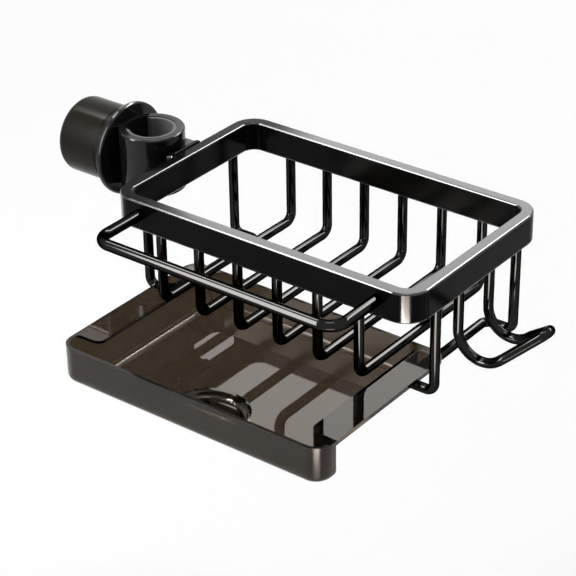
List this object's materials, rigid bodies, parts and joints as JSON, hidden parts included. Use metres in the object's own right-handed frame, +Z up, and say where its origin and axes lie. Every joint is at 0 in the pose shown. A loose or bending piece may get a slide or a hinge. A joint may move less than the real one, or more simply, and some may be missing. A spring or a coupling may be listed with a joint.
{
  "type": "sponge holder",
  "caption": "Wire sponge basket on a flat-bar rim that clamps to a tap pipe, with a sliding drip tray, a towel rail and a side hook.",
  "frame": {"origin": "where the pipe's axis crosses the clamp screw's axis", "axes": "+Z up along the pipe, +X from the clamp to the basket, -Y the front, where the tray pulls out"},
  "size_m": [0.3209, 0.184, 0.1029],
  "materials": {
    "black_steel": "glossy black",
    "black_wire": "glossy black",
    "black_casting": "glossy black",
    "knob_plastic": "glossy brown black",
    "smoke_plastic": "clear smoky brown",
    "rubber": "matt",
    "brass": "turned",
    "bright_steel": "turned"
  },
  "bodies": {
    "rack": {"rim_band": "black_steel", "basket_rib_1": "black_wire", "basket_rib_2": "black_wire", "basket_rib_3": "black_wire", "basket_rib_4": "black_wire", "basket_rib_5": "black_wire", "basket_rib_6": "black_wire", "front_rail": "black_wire", "side_hook": "black_wire", "tray_runner_left": "black_wire", "tray_runner_right": "black_wire", "bracket_plate": "black_steel", "clamp_collar": "black_casting", "collar_liner": "rubber", "thread_bush": "brass"},
    "tray": {"drip_tray": "smoke_plastic"},
    "jaw": {"pad_shoe": "bright_steel", "clamp_pad": "rubber"},
    "knob": {"clamp_screw": "bright_steel", "knob_body": "knob_plastic", "knob_cap": "knob_plastic"}
  },
  "joints": [
    {"name": "tray_slide", "type": "slide", "parent": "rack", "child": "tray", "axis": [0, 1, 0], "range_m": [-0.012, 0.065]},
    {"name": "jaw_slide", "type": "slide", "parent": "rack", "child": "jaw", "axis": [-1, 0, 0], "range_m": [0, 0.0041]},
    {"name": "knob_turn", "type": "hinge", "parent": "jaw", "child": "knob", "pos_m": [-0.03, 0, 0], "axis": [-1, 0, 0], "range_deg": [0, 1152]}
  ],
  "couplings": [
    {"joint": "jaw_slide", "follows": "knob_turn", "m_per_rad": 0.00019894}
  ]
}
